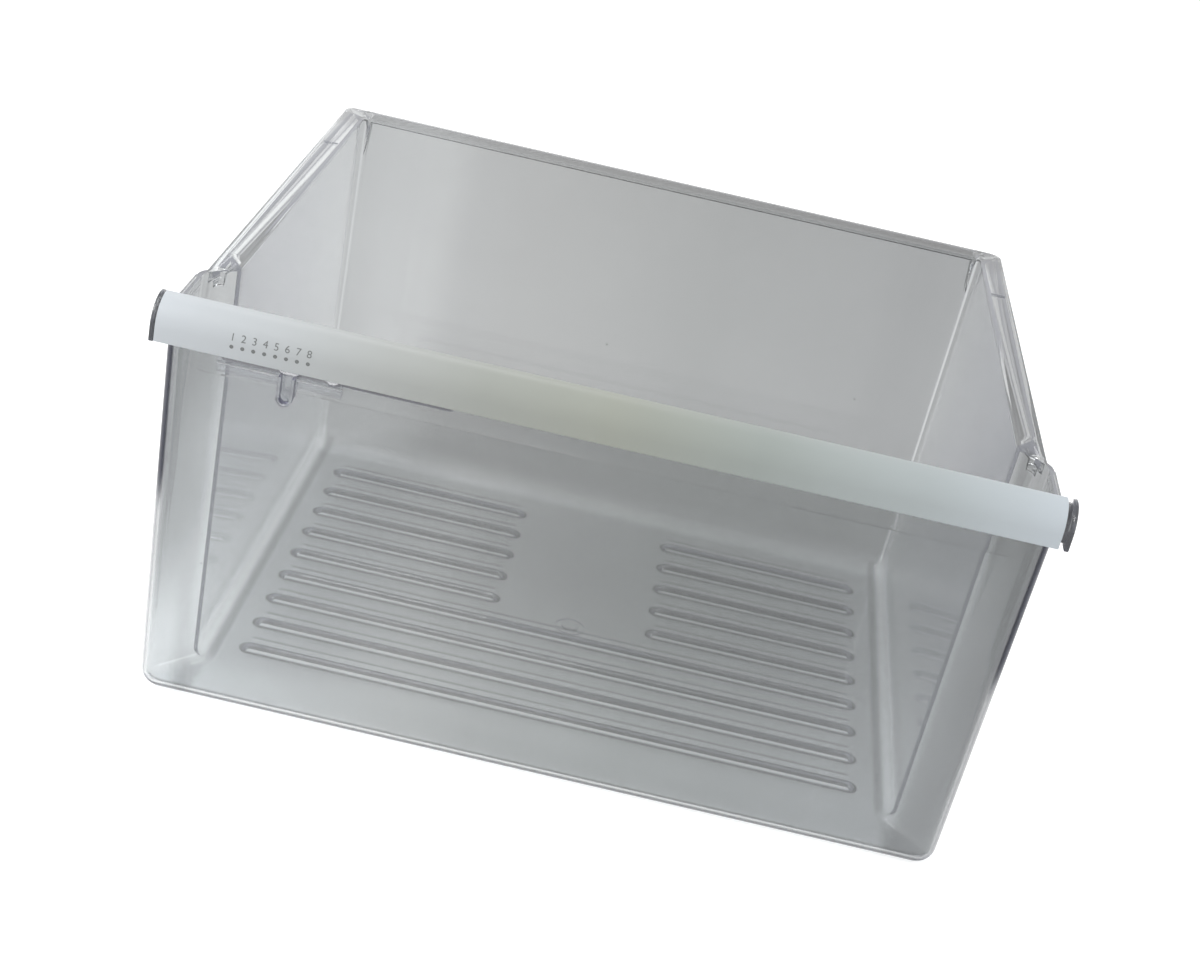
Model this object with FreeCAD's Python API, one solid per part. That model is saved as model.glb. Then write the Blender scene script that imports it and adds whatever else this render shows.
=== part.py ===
import FreeCAD, Part
import math
import os

# Crisper drawer: a clear bin, a white handle trim and a clear humidity slider.
# Lengths are in millimetres and angles in degrees. X runs across the front,
# Y from the front to the back and Z up. The origin is on the underside of the
# floor, on the centre plane, halfway between the handle and the back rim.

# Bin walls, measured on the outside at the level of the underside.
WALL = 2.5
FLOOR = 2.5
RIM_HEIGHT = 216.8
FRONT_Y = -158.4
FRONT_LEAN = 5.9
FRONT_HALF_WIDTH = 207.9
FRONT_SIDE_DRAFT = 0.13
REAR_SIDE_DRAFT = 1.5
BACK_Y = 161.9
BACK_LEAN = 3.0

# Side step, where the bin narrows to pass between the runners.
STEP_DEPTH = 18.8
STEP_Y = -120.8
STEP_LEAN = 3.24
STEP_RUN = 1.15

# Outer radii of the upright edges and of the edge round the floor.
FRONT_CORNER_RADIUS = 11.5
STEP_OUTER_RADIUS = 10.3
STEP_INNER_RADIUS = 1.0
BACK_CORNER_RADIUS = 9.5
FLOOR_EDGE_RADIUS = 9.0

# Rim flanges along the sides and the back, measured outwards from the walls.
SIDE_FLANGE = 10.8229
BACK_FLANGE = 11.9380
RIM_THICKNESS = 2.3
RIM_CORNER_RADIUS = 7.0
LIP_THICKNESS = 2.2
LIP_HEIGHT = 6.0
CHANNEL_DEPTH = 0.8
CHANNEL_BEAD = 2.5
CHANNEL_FRONT_GAP = 27.8
CHANNEL_BACK_GAP = 74.7
SIDE_BEAD = 1.0
SIDE_BEAD_HEIGHT = 5.0

# Stop lugs under the side flanges and webs under the back flange.
LUG_WIDTH = 4.0
LUG_LENGTH = 6.5
LUG_HEIGHT = 9.0
LUG_ROOT = 1.0
WEB_INSET = 6.2771
WEB_THICKNESS = 1.6
WEB_HEIGHT = 24.0
WEB_ROOT = 2.0

# Thicker band across the top of the front wall. Drops are measured down
# from the rim and insets inwards from the side walls.
BAND_INSET = 18.3919
BAND_DROP = 25.3
BAND_THICKNESS = 1.2
BAND_ROOT = 1.0

# Floor ribs, hollow from below.
RIB_COUNT = 9
SPLIT_ROWS = 5
RIB_BACK_GAP = 42.3
RIB_PITCH = 27.7
RIB_SIDE_GAP = 21.6
RIB_GAP_X = 44.2
RIB_WIDTH = 9.4
RIB_RISE = 3.2
RIB_CHAMFER = 1.7
RIB_SKIN = 2.2
RIB_ROOF = 2.7

# Round mark of the moulding gate in the middle of the floor.
GATE_Y = -3.5
GATE_RADIUS = 9.0
GATE_RING = 1.2
GATE_NUB_RADIUS = 4.5
GATE_RISE = 0.5

# White trim of the handle.
TRIM_STAND_OFF = 3.5959
TRIM_DROP = 13.9
TRIM_BEND_DROP = 6.8
TRIM_RADIUS = 13.0
TRIM_DEPTH = 15.1
TRIM_WALL = 1.6
TRIM_EDGE_WIDTH = 0.4
TRIM_EDGE_HEIGHT = 0.5
TRIM_BACK_EDGE = 0.6
TRIM_HOOK = 1.1
TRIM_HOOK_HEIGHT = 1.6
TRIM_BACK_LIP = 1.4
TRIM_BACK_DROP = 5.4
TRIM_CLEARANCE = 0.15
TRIM_LEFT_CLEARANCE = 0.25
TRIM_RIGHT_CLEARANCE = 2.55

# Handle rail of the bin, under the trim, with a plate at each end.
RAIL_DROP = 10.8
RAIL_SKIN = 2.0
PLATE_STAND_OFF = 3.0081
PLATE_THICKNESS = 2.2
PLATE_EDGE_RADIUS = 0.6

# Vent slot in the front wall.
SLOT_INSET = 27.8919
SLOT_LENGTH = 109.7
SLOT_DROP = 16.8
SLOT_HEIGHT = 5.6

# Humidity slider, drawn where the photograph shows it.
TAB_INSET = 60.1919
TAB_WIDTH = 7.6
TAB_BOTTOM_DROP = 30.8
TAB_TOP_DROP = 16.4
TAB_REACH = 4.0
TAB_WALL = 1.4
SLIDE_LEFT = 33.6
SLIDE_RIGHT = 25.2
SLIDE_BOTTOM_DROP = 22.3
SLIDE_TOP_DROP = 13.0
SLIDE_THICKNESS = 1.3
SLIDE_CLEARANCE = 0.3
STEM_WIDTH = 10.0
FOOT_OFFSET = 20.0
FOOT_WIDTH = 6.4
CATCH_THICKNESS = 1.3
CATCH_DROP = 2.4
CATCH_HEAD_GAP = 1.0
CATCH_TAPER = 1.0

# How far a cutting tool reaches past the material it takes away.
OVERCUT = 1.0

# Half width of the rear part, behind the step.
REAR_HALF_WIDTH = FRONT_HALF_WIDTH - STEP_DEPTH


def rise(angle, height):
    """Sideways travel of a leaning face over a height."""
    return height * math.tan(math.radians(angle))


def front_face(z):
    """Outer face of the front wall at height z."""
    return FRONT_Y - rise(FRONT_LEAN, z)


def rear_side(z):
    """Outer face of the rear part's side wall at height z."""
    return REAR_HALF_WIDTH + rise(REAR_SIDE_DRAFT, z)


def front_side(z):
    """Outer face of the front part's side wall at height z."""
    return FRONT_HALF_WIDTH + rise(FRONT_SIDE_DRAFT, z)


def back_face(z):
    """Outer face of the back wall at height z."""
    return BACK_Y + rise(BACK_LEAN, z)


# Places that follow from the sizes above.
RIM_HALF_WIDTH = rear_side(RIM_HEIGHT) + SIDE_FLANGE
RIM_BACK_Y = back_face(RIM_HEIGHT) + BACK_FLANGE
CHANNEL_FRONT_Y = STEP_Y + CHANNEL_FRONT_GAP
CHANNEL_BACK_Y = RIM_BACK_Y - CHANNEL_BACK_GAP
WEB_X = rear_side(RIM_HEIGHT) - WEB_INSET
BAND_HALF_WIDTH = front_side(RIM_HEIGHT) - BAND_INSET
BAND_BOTTOM = RIM_HEIGHT - BAND_DROP
RIB_FIRST_Y = BACK_Y - RIB_BACK_GAP
RIB_END_X = REAR_HALF_WIDTH - RIB_SIDE_GAP
TRIM_FRONT_Y = front_face(RIM_HEIGHT) - TRIM_STAND_OFF
TRIM_BACK_Y = TRIM_FRONT_Y + TRIM_DEPTH
TRIM_BOTTOM = RIM_HEIGHT - TRIM_DROP
TRIM_BEND_HEIGHT = RIM_HEIGHT - TRIM_BEND_DROP
RAIL_BOTTOM = RIM_HEIGHT - RAIL_DROP
PLATE_INNER_X = front_side(RIM_HEIGHT) + PLATE_STAND_OFF
SLOT_LEFT_X = SLOT_INSET - front_side(RIM_HEIGHT)
SLOT_RIGHT_X = SLOT_LEFT_X + SLOT_LENGTH
SLOT_BOTTOM = RIM_HEIGHT - SLOT_DROP
TAB_X = TAB_INSET - front_side(RIM_HEIGHT)
TAB_BOTTOM = RIM_HEIGHT - TAB_BOTTOM_DROP
TAB_TOP = RIM_HEIGHT - TAB_TOP_DROP
SLIDE_BOTTOM = RIM_HEIGHT - SLIDE_BOTTOM_DROP
SLIDE_TOP = RIM_HEIGHT - SLIDE_TOP_DROP


def plan_lines(z):
    """Right half of the outer plan as lines n.x = c, from front to back."""
    turn = math.hypot(STEP_RUN, 1.0)
    step_normal = (STEP_RUN / turn, 1.0 / turn)
    step_y = STEP_Y + rise(STEP_LEAN, z)
    step_c = step_normal[0] * rear_side(z) + step_normal[1] * step_y
    return [
        ((0.0, -1.0), -front_face(z)),
        ((1.0, 0.0), front_side(z)),
        (step_normal, step_c),
        ((1.0, 0.0), rear_side(z)),
        ((0.0, 1.0), back_face(z)),
    ]


def meet(first, second):
    """Point where two plan lines cross."""
    (a, b), c = first
    (d, e), f = second
    det = a * e - b * d
    return ((c * e - b * f) / det, (a * f - c * d) / det)


def plan_corners(z, inset):
    """Corners of the plan at height z, anticlockwise from the front right."""
    lines = [(n, c - inset) for n, c in plan_lines(z)]
    right = [meet(lines[i], lines[i + 1]) for i in range(len(lines) - 1)]
    left = [(-x, y) for x, y in reversed(right)]
    return right + left


def polygon_face(points):
    """Flat face through a ring of points."""
    return Part.Face(Part.makePolygon(list(points) + [points[0]]))


def tapered_body(bottom, top, inset):
    """Solid between two heights with the leaning walls of the bin."""
    low = [FreeCAD.Vector(x, y, bottom) for x, y in plan_corners(bottom, inset)]
    high = [FreeCAD.Vector(x, y, top) for x, y in plan_corners(top, inset)]
    faces = [polygon_face(low), polygon_face(high)]
    for i in range(len(low)):
        j = (i + 1) % len(low)
        faces.append(polygon_face([low[i], low[j], high[j], high[i]]))
    closed = Part.makeSolid(Part.makeShell(faces))
    return Part.Solid(Part.Shell(closed.Faces))


def round_uprights(solid, middle, inset, corners, radius):
    """Round the upright edges that stand at the given corners of the plan."""
    plan = plan_corners(middle, inset)
    chosen = []
    for index in corners:
        spot = FreeCAD.Vector(plan[index][0], plan[index][1], middle)
        line = Part.Vertex(spot)
        near = min(solid.Edges, key=lambda edge: edge.distToShape(line)[0])
        chosen.append(near)
    return solid.makeFillet(radius, chosen)


def rounded_body(bottom, top, inset):
    """Tapered body with its upright edges and its bottom edge rounded."""
    middle = (bottom + top) / 2.0
    body = tapered_body(bottom, top, inset)
    body = round_uprights(body, middle, inset, (0, 7), FRONT_CORNER_RADIUS - inset)
    body = round_uprights(body, middle, inset, (1, 6), STEP_OUTER_RADIUS - inset)
    body = round_uprights(body, middle, inset, (2, 5), STEP_INNER_RADIUS + inset)
    body = round_uprights(body, middle, inset, (3, 4), BACK_CORNER_RADIUS - inset)
    low = [e for e in body.Edges if e.BoundBox.ZMax < bottom + 0.01]
    return body.makeFillet(FLOOR_EDGE_RADIUS - inset, low)


def block(x0, x1, y0, y1, z0, z1):
    """Box between two corners."""
    return Part.makeBox(x1 - x0, y1 - y0, z1 - z0, FreeCAD.Vector(x0, y0, z0))


def both_sides(shape):
    """A shape and its mirror image across the centre plane."""
    centre = FreeCAD.Vector(0, 0, 0)
    return [shape, shape.mirror(centre, FreeCAD.Vector(1, 0, 0))]


def section(x0, x1, points):
    """Prism along X with a straight-sided outline given as (y, z)."""
    ring = [FreeCAD.Vector(x0, y, z) for y, z in points]
    return polygon_face(ring).extrude(FreeCAD.Vector(x1 - x0, 0, 0))


def capsule(x0, x1, y, radius, z0, z1):
    """Upright prism whose plan is a bar with half-round ends."""
    left = x0 + radius
    right = x1 - radius
    a = FreeCAD.Vector(left, y - radius, z0)
    b = FreeCAD.Vector(right, y - radius, z0)
    c = FreeCAD.Vector(right, y + radius, z0)
    d = FreeCAD.Vector(left, y + radius, z0)
    edges = [
        Part.makeLine(a, b),
        Part.Arc(b, FreeCAD.Vector(x1, y, z0), c).toShape(),
        Part.makeLine(c, d),
        Part.Arc(d, FreeCAD.Vector(x0, y, z0), a).toShape(),
    ]
    return Part.Face(Part.Wire(edges)).extrude(FreeCAD.Vector(0, 0, z1 - z0))


def bar_through(x0, x1, z0, z1, y0, y1):
    """Prism along Y whose front view is a bar with half-round ends."""
    radius = (z1 - z0) / 2.0
    middle = (z0 + z1) / 2.0
    a = FreeCAD.Vector(x0 + radius, y0, z0)
    b = FreeCAD.Vector(x1 - radius, y0, z0)
    c = FreeCAD.Vector(x1 - radius, y0, z1)
    d = FreeCAD.Vector(x0 + radius, y0, z1)
    edges = [
        Part.makeLine(a, b),
        Part.Arc(b, FreeCAD.Vector(x1, y0, middle), c).toShape(),
        Part.makeLine(c, d),
        Part.Arc(d, FreeCAD.Vector(x0, y0, middle), a).toShape(),
    ]
    return Part.Face(Part.Wire(edges)).extrude(FreeCAD.Vector(0, y1 - y0, 0))


def rib_spans():
    """Rows of the floor ribs as (x0, x1, y)."""
    spans = []
    for row in range(RIB_COUNT):
        y = RIB_FIRST_Y - row * RIB_PITCH
        if row < SPLIT_ROWS:
            spans.append((-RIB_END_X, -RIB_GAP_X, y))
            spans.append((RIB_GAP_X, RIB_END_X, y))
        else:
            spans.append((-RIB_END_X, RIB_END_X, y))
    return spans


def floor_rib(x0, x1, y):
    """Raised rib with a bevelled top edge, sunk slightly into the floor."""
    top = FLOOR + RIB_RISE
    rib = capsule(x0, x1, y, RIB_WIDTH / 2.0, FLOOR / 2.0, top)
    crown = [e for e in rib.Edges if e.BoundBox.ZMin > top - 0.01]
    return rib.makeChamfer(RIB_CHAMFER, crown)


def rib_hollow(x0, x1, y):
    """Groove under a floor rib."""
    radius = RIB_WIDTH / 2.0 - RIB_SKIN
    top = FLOOR + RIB_RISE - RIB_ROOF
    return capsule(x0 + RIB_SKIN, x1 - RIB_SKIN, y, radius, -OVERCUT, top)


def gate_mark():
    """Thin ring and nub left by the gate."""
    base = FreeCAD.Vector(0, GATE_Y, FLOOR / 2.0)
    height = FLOOR / 2.0 + GATE_RISE
    ring = Part.makeCylinder(GATE_RADIUS, height, base)
    ring = ring.cut(Part.makeCylinder(GATE_RADIUS - GATE_RING, height, base))
    return [ring, Part.makeCylinder(GATE_NUB_RADIUS, height, base)]


def rim_plan(inset, front, z0, z1):
    """Block with the plan of the rim and rounded back corners."""
    half = RIM_HALF_WIDTH - inset
    body = block(-half, half, front, RIM_BACK_Y - inset, z0, z1)
    back = [e for e in body.Edges if e.BoundBox.YMin > RIM_BACK_Y - inset - 0.01]
    posts = [e for e in back if e.BoundBox.ZLength > 1.0]
    return body.makeFillet(RIM_CORNER_RADIUS - inset, posts)


def rim():
    """Flange along the sides and the back, with its lip and stop lugs."""
    corners = plan_corners(RIM_HEIGHT, WALL)
    front = corners[1][1]
    lip_bottom = RIM_HEIGHT - LIP_HEIGHT
    flange = rim_plan(0.0, front, RIM_HEIGHT - RIM_THICKNESS, RIM_HEIGHT)
    lip = rim_plan(0.0, front, lip_bottom, RIM_HEIGHT)
    hollow = rim_plan(LIP_THICKNESS, front - OVERCUT, lip_bottom - OVERCUT,
                      RIM_HEIGHT + OVERCUT)
    lip = lip.cut(hollow)
    lug_x = RIM_HALF_WIDTH - LIP_THICKNESS - LUG_WIDTH
    lug_y = front + LUG_LENGTH
    lug = block(lug_x, lug_x + LUG_WIDTH, lug_y, lug_y + LUG_LENGTH,
                RIM_HEIGHT - LUG_HEIGHT, RIM_HEIGHT - LUG_ROOT)
    return [flange, lip] + both_sides(lug)


def runner_entries():
    """Gaps in the back lip where the runners pass in under the flanges."""
    inner = rear_side(RIM_HEIGHT) + 0.2
    outer = RIM_HALF_WIDTH - LIP_THICKNESS
    gap = block(inner, outer, RIM_BACK_Y - RIM_CORNER_RADIUS - OVERCUT,
                RIM_BACK_Y + OVERCUT, RIM_HEIGHT - LIP_HEIGHT - OVERCUT,
                RIM_HEIGHT - RIM_THICKNESS)
    return both_sides(gap)


def side_beads():
    """Thickened top edge of the side walls ahead of the step."""
    corners = plan_corners(RIM_HEIGHT, 0.0)
    side_x = corners[1][0]
    bead = block(side_x - WALL / 2.0, side_x + SIDE_BEAD,
                 corners[0][1] + FRONT_CORNER_RADIUS, corners[1][1] - STEP_OUTER_RADIUS / 2.0,
                 RIM_HEIGHT - SIDE_BEAD_HEIGHT, RIM_HEIGHT)
    upright = [e for e in bead.Edges
               if e.BoundBox.XMin > side_x + SIDE_BEAD - 0.01]
    return both_sides(bead.makeFillet(SIDE_BEAD * 0.8, upright))


def back_webs():
    """Small upright webs between the back wall and the back flange."""
    top = RIM_HEIGHT - RIM_THICKNESS / 2.0
    low = top - WEB_HEIGHT
    wall_top = back_face(top)
    wall_low = back_face(low)
    outline = [
        (wall_top - WEB_ROOT, top),
        (RIM_BACK_Y - LIP_THICKNESS / 2.0, top),
        (RIM_BACK_Y - LIP_THICKNESS / 2.0, RIM_HEIGHT - LIP_HEIGHT),
        (wall_low - WEB_ROOT, low),
    ]
    return both_sides(section(WEB_X, WEB_X + WEB_THICKNESS, outline))


def rim_channels():
    """Shallow channels in the top of the side flanges."""
    inner = rear_side(RIM_HEIGHT) - WALL + CHANNEL_BEAD
    outer = RIM_HALF_WIDTH - LIP_THICKNESS
    cut = block(inner, outer, CHANNEL_FRONT_Y, CHANNEL_BACK_Y,
                RIM_HEIGHT - CHANNEL_DEPTH, RIM_HEIGHT + OVERCUT)
    return both_sides(cut)


def front_band():
    """Band of greater thickness across the top of the front wall."""
    top = RIM_HEIGHT - BAND_ROOT
    outline = [
        (front_face(BAND_BOTTOM) + BAND_ROOT, BAND_BOTTOM),
        (front_face(BAND_BOTTOM) - BAND_THICKNESS, BAND_BOTTOM),
        (front_face(top) - BAND_THICKNESS, top),
        (front_face(top) + BAND_ROOT, top),
    ]
    return section(-BAND_HALF_WIDTH, BAND_HALF_WIDTH, outline)


def on_arc(radius, y):
    """Height of a handle arc above its bend at depth y."""
    offset = y - TRIM_FRONT_Y - TRIM_RADIUS
    return TRIM_BEND_HEIGHT + math.sqrt(max(radius ** 2 - offset ** 2, 0.0))


def handle_arc(x, radius, y0, y1):
    """Arc of the handle section in the plane at x, from depth y0 to y1."""
    points = [(y, on_arc(radius, y)) for y in (y0, (y0 + y1) / 2.0, y1)]
    start, middle, end = [FreeCAD.Vector(x, y, z) for y, z in points]
    return Part.Arc(start, middle, end).toShape()


def section_wire(x, pieces):
    """Closed wire in the plane at x from arcs and the points between them."""
    edges = []
    for piece in pieces:
        if isinstance(piece, tuple):
            spot = FreeCAD.Vector(x, piece[0], piece[1])
        else:
            spot = piece.Vertexes[0].Point
        if edges:
            edges.append(Part.makeLine(last, spot))
        else:
            first = spot
            edges.append(None)
        if isinstance(piece, tuple):
            last = spot
        else:
            edges.append(piece)
            last = piece.Vertexes[-1].Point
    edges.append(Part.makeLine(last, first))
    return Part.Wire([e for e in edges if e is not None])


def rail():
    """Curved rail that the front wall grows into under the trim."""
    x = -PLATE_INNER_X
    outer_radius = TRIM_RADIUS - TRIM_WALL - TRIM_CLEARANCE
    inner_radius = outer_radius - RAIL_SKIN
    front = TRIM_FRONT_Y + TRIM_WALL + TRIM_CLEARANCE
    back = TRIM_BACK_Y - TRIM_BACK_LIP - TRIM_CLEARANCE
    wall_y = front_face(RIM_HEIGHT) + WALL
    pieces = [
        (front, RAIL_BOTTOM),
        handle_arc(x, outer_radius, front, back),
        handle_arc(x, inner_radius, back, wall_y),
        (front_face(RAIL_BOTTOM) + WALL / 2.0, RAIL_BOTTOM),
    ]
    face = Part.Face(section_wire(x, pieces))
    return face.extrude(FreeCAD.Vector(2.0 * PLATE_INNER_X, 0, 0))


def beyond_rail():
    """Space in front of and above the rail, where the trim sits."""
    radius = TRIM_RADIUS - TRIM_WALL - TRIM_CLEARANCE
    centre_y = TRIM_FRONT_Y + TRIM_RADIUS
    half = PLATE_INNER_X
    space = block(-half, half, TRIM_FRONT_Y - OVERCUT, centre_y,
                  RAIL_BOTTOM, TRIM_BEND_HEIGHT + TRIM_RADIUS + OVERCUT)
    axis_start = FreeCAD.Vector(-half, centre_y, TRIM_BEND_HEIGHT)
    round_part = Part.makeCylinder(radius, 2.0 * half, axis_start, FreeCAD.Vector(1, 0, 0))
    straight_part = block(-half, half, centre_y - radius, centre_y,
                          RAIL_BOTTOM, TRIM_BEND_HEIGHT)
    return space.cut([round_part, straight_part])


def end_plates():
    """Plates that close both ends of the handle."""
    x = PLATE_INNER_X
    pieces = [
        (TRIM_FRONT_Y, TRIM_BOTTOM),
        handle_arc(x, TRIM_RADIUS, TRIM_FRONT_Y, TRIM_BACK_Y),
        (TRIM_BACK_Y, TRIM_BEND_HEIGHT),
        (front_face(TRIM_BOTTOM) + WALL, TRIM_BOTTOM),
    ]
    face = Part.Face(section_wire(x, pieces))
    plate = face.extrude(FreeCAD.Vector(PLATE_THICKNESS, 0, 0))
    outer = [e for e in plate.Edges if e.BoundBox.XMin > x + PLATE_THICKNESS - 0.01]
    return both_sides(plate.makeFillet(PLATE_EDGE_RADIUS, outer))


def vent_slot():
    """Slot through the front wall that the slider covers."""
    return bar_through(SLOT_LEFT_X, SLOT_RIGHT_X, SLOT_BOTTOM,
                       SLOT_BOTTOM + SLOT_HEIGHT, TRIM_FRONT_Y, TRIM_BACK_Y)


def make_pan():
    """Clear bin with its ribs, rim, band, rail and end plates."""
    cavity = rounded_body(FLOOR, TRIM_BEND_HEIGHT + TRIM_RADIUS + OVERCUT, WALL)
    body = rounded_body(0.0, RIM_HEIGHT, 0.0)
    body = body.multiFuse(rim() + side_beads() + back_webs() + [front_band()])
    body = body.cut([cavity, beyond_rail()] + runner_entries())
    body = body.multiFuse([rail()] + end_plates())
    ribs = [floor_rib(*span) for span in rib_spans()]
    body = body.multiFuse(ribs + gate_mark())
    cuts = [rib_hollow(*span) for span in rib_spans()]
    return body.cut(cuts + rim_channels() + [vent_slot()]).removeSplitter()


def make_trim():
    """White strip with a hook along the front and along the back."""
    x = -PLATE_INNER_X + TRIM_LEFT_CLEARANCE
    length = 2.0 * PLATE_INNER_X - TRIM_LEFT_CLEARANCE - TRIM_RIGHT_CLEARANCE
    inner_radius = TRIM_RADIUS - TRIM_WALL
    inner_front = TRIM_FRONT_Y + TRIM_WALL
    lip = TRIM_BACK_Y - TRIM_BACK_LIP
    drop = on_arc(TRIM_RADIUS, TRIM_BACK_Y) - TRIM_BACK_DROP
    hook_top = RAIL_BOTTOM - TRIM_CLEARANCE
    pieces = [
        (TRIM_FRONT_Y + TRIM_EDGE_WIDTH, TRIM_BOTTOM),
        (TRIM_FRONT_Y, TRIM_BOTTOM + TRIM_EDGE_HEIGHT),
        handle_arc(x, TRIM_RADIUS, TRIM_FRONT_Y, TRIM_BACK_Y),
        (TRIM_BACK_Y, drop),
        (lip, drop),
        (lip - TRIM_HOOK, drop + TRIM_BACK_EDGE),
        (lip, drop + TRIM_HOOK_HEIGHT),
        handle_arc(x, inner_radius, lip, inner_front),
        (inner_front, hook_top),
        (inner_front + TRIM_HOOK, hook_top),
        (inner_front, hook_top - TRIM_HOOK_HEIGHT),
        (inner_front, TRIM_BOTTOM + TRIM_EDGE_HEIGHT),
        (inner_front - TRIM_EDGE_WIDTH, TRIM_BOTTOM),
    ]
    face = Part.Face(section_wire(x, pieces))
    return face.extrude(FreeCAD.Vector(length, 0, 0))


def band_face(z):
    """Outer face of the front band at height z."""
    return front_face(z) - BAND_THICKNESS


def slide_plate(x0, x1, bottom, top):
    """Plate that lies parallel to the band, one clearance in front of it."""
    outline = []
    for z, depth in ((bottom, 0.0), (bottom, 1.0), (top, 1.0), (top, 0.0)):
        y = band_face(z) - SLIDE_CLEARANCE - depth * SLIDE_THICKNESS
        outline.append((y, z))
    return section(x0, x1, outline)


def slide_foot(x, width):
    """Foot through the slot with a catch behind the front wall."""
    z0 = SLOT_BOTTOM + SLIDE_CLEARANCE
    z1 = SLOT_BOTTOM + SLOT_HEIGHT - SLIDE_CLEARANCE
    front = band_face(z0) - SLIDE_CLEARANCE - SLIDE_THICKNESS / 2.0
    inside = front_face(z0 - CATCH_DROP) + WALL + SLIDE_CLEARANCE
    foot = bar_through(x - width / 2.0, x + width / 2.0, z0, z1,
                       front, inside + CATCH_THICKNESS)
    outline = [
        (inside, z0 - CATCH_DROP),
        (inside, z1 - CATCH_HEAD_GAP),
        (inside + CATCH_THICKNESS, z1 - CATCH_HEAD_GAP),
        (inside + CATCH_THICKNESS, z0 - CATCH_DROP + CATCH_TAPER),
    ]
    inner_width = width - (z1 - z0) / 2.0
    catch = section(x - inner_width / 2.0, x + inner_width / 2.0, outline)
    return foot.fuse(catch)


def finger_tab():
    """Hollow tab with a rounded bottom that stands out below the trim."""
    radius = TAB_WIDTH / 2.0
    back = band_face(TAB_TOP) - SLIDE_CLEARANCE - SLIDE_THICKNESS
    front = back - TAB_REACH
    root = band_face(TAB_BOTTOM) - SLIDE_CLEARANCE
    outer = upright_tab(radius, TAB_BOTTOM, TAB_TOP, front, root)
    inner = upright_tab(radius - TAB_WALL, TAB_BOTTOM + TAB_WALL, TAB_TOP + OVERCUT,
                        front - OVERCUT, back)
    low = TAB_BOTTOM - OVERCUT
    high = TAB_TOP + OVERCUT
    behind = section(TAB_X - TAB_WIDTH, TAB_X + TAB_WIDTH, [
        (band_face(low) - SLIDE_CLEARANCE, low),
        (band_face(high) - SLIDE_CLEARANCE, high),
        (root + TAB_REACH, high),
        (root + TAB_REACH, low),
    ])
    return outer.cut([inner, behind])


def upright_tab(radius, bottom, top, y0, y1):
    """Prism along Y with straight sides and a half-round bottom."""
    a = FreeCAD.Vector(TAB_X - radius, y0, top)
    b = FreeCAD.Vector(TAB_X - radius, y0, bottom + radius)
    low = FreeCAD.Vector(TAB_X, y0, bottom)
    c = FreeCAD.Vector(TAB_X + radius, y0, bottom + radius)
    d = FreeCAD.Vector(TAB_X + radius, y0, top)
    edges = [
        Part.makeLine(a, b),
        Part.Arc(b, low, c).toShape(),
        Part.makeLine(c, d),
        Part.makeLine(d, a),
    ]
    return Part.Face(Part.Wire(edges)).extrude(FreeCAD.Vector(0, y1 - y0, 0))


def make_slider():
    """Clear slide with a finger tab and two feet."""
    plate = slide_plate(TAB_X - SLIDE_LEFT, TAB_X + SLIDE_RIGHT, SLIDE_BOTTOM, SLIDE_TOP)
    feet = [slide_foot(TAB_X, STEM_WIDTH), slide_foot(TAB_X + FOOT_OFFSET, FOOT_WIDTH)]
    return plate.multiFuse([finger_tab()] + feet).removeSplitter()


def main():
    os.makedirs("parts", exist_ok=True)
    nodes = {
        "pan": make_pan(),
        "handle_trim": make_trim(),
        "humidity_slider": make_slider(),
    }
    for name, shape in nodes.items():
        box = shape.BoundBox
        print(name, shape.isValid(), len(shape.Solids), round(shape.Volume / 1000.0, 1),
              [round(v, 2) for v in (box.XMin, box.XMax, box.YMin, box.YMax,
                                     box.ZMin, box.ZMax)])
        shape.exportStep("parts/%s.step" % name)


main()
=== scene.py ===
import math

import bmesh
import bpy
from mathutils import Matrix, Vector
from mathutils.geometry import delaunay_2d_cdt


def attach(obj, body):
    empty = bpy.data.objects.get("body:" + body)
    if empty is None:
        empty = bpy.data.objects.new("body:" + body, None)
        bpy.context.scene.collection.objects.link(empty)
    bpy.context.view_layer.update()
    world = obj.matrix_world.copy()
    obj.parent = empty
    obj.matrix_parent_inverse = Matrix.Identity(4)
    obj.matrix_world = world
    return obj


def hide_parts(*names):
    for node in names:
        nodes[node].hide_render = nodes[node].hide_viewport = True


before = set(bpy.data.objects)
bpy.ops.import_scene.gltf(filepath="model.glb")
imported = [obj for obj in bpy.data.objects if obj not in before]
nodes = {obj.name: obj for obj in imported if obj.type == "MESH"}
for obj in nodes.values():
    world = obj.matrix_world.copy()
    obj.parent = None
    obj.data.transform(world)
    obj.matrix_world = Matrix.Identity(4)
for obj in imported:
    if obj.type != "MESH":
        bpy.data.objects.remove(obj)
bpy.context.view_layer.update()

MM = 0.001

# Sizes of the model that the pieces below share, in millimetres.
FLOOR = 2.5
RIB_HALF = 4.7
RIB_RISE = 2.9
RIB_BASE_RADIUS = 0.9
RIB_END = 162.8
RIB_GAP = 48.9
RIB_FIRST_Y = 119.6
RIB_PITCH = 27.7
RIB_COUNT = 9
SPLIT_ROWS = 5
GATE_Y = -3.5
GATE_RADIUS = 9.0
TRIM_FRONT_Y = -184.4
TRIM_BACK_Y = -169.3
TRIM_BOTTOM = 202.9
TRIM_BEND_Z = 210.0
TRIM_RADIUS = 13.0
TRIM_WALL = 1.6
TRIM_X0 = -211.15
TRIM_X1 = 208.85
TRIM_LIP = 1.4
TRIM_DROP = 5.4
SNAP_DEPTH = 1.1
SNAP_HEIGHT = 1.6
SNAP_TOP = 205.85

# The field of ribs in the CAD floor: half width, front, back and top.
FIELD_HALF = 168.0
FIELD_FRONT = -107.0
FIELD_BACK = 125.0
FIELD_TOP = 6.0

# Where the painted dark edge shows: the vent slot's box as x, y and z, and the ledge's y and z.
SLOT_BOX = ((-181.0, -70.0), (-184.0, -175.0), (199.8, 203.0))
LEDGE_Y = -177.0
LEDGE_Z = (191.2, 191.8)

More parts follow.
